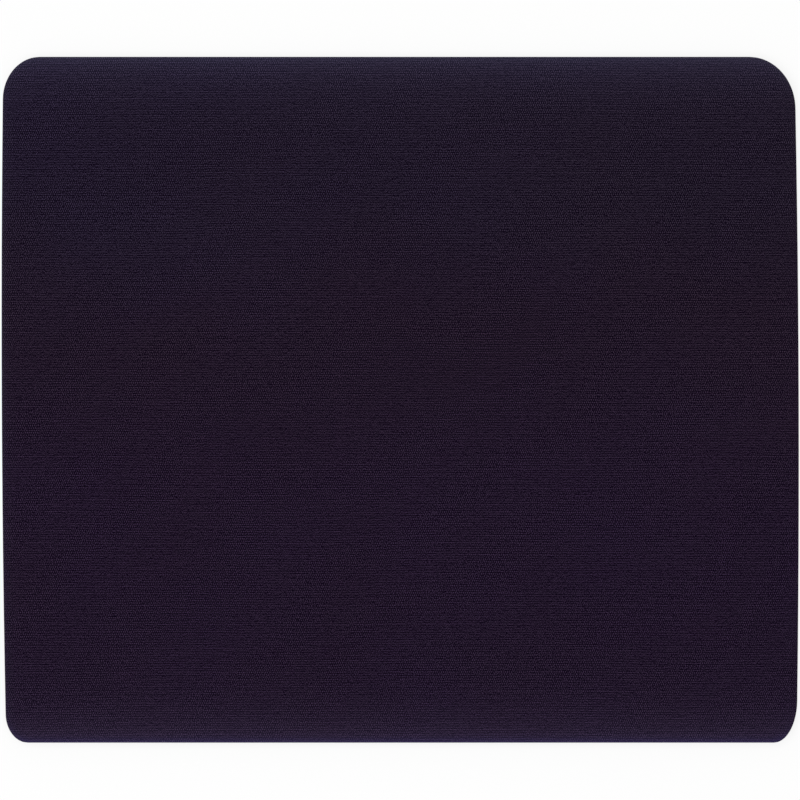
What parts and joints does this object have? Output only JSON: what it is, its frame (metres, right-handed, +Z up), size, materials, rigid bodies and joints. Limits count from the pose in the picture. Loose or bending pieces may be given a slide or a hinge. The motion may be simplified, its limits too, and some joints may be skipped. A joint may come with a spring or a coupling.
{
  "type": "mouse pad",
  "caption": "Flat rounded-rectangle cloth mouse pad with a sponge rubber core and a non-slip base, for running a computer mouse on a desk.",
  "frame": {"origin": "middle of the underside", "axes": "+X to the user's right along the long edge, +Y away from the user, +Z up out of the cloth"},
  "size_m": [0.229, 0.197, 0.006],
  "materials": {
    "cloth": "matt knitted polyester, near black with a purple cast",
    "bond_film": "thin hot-melt film, satin",
    "sponge_rubber": "fine-celled black sponge rubber, matt",
    "grip_rubber": "embossed black rubber skin, matt"
  },
  "bodies": {
    "root": {"fabric_top": "cloth", "adhesive_film": "bond_film", "foam_core": "sponge_rubber", "grip_base": "grip_rubber"}
  },
  "joints": []
}
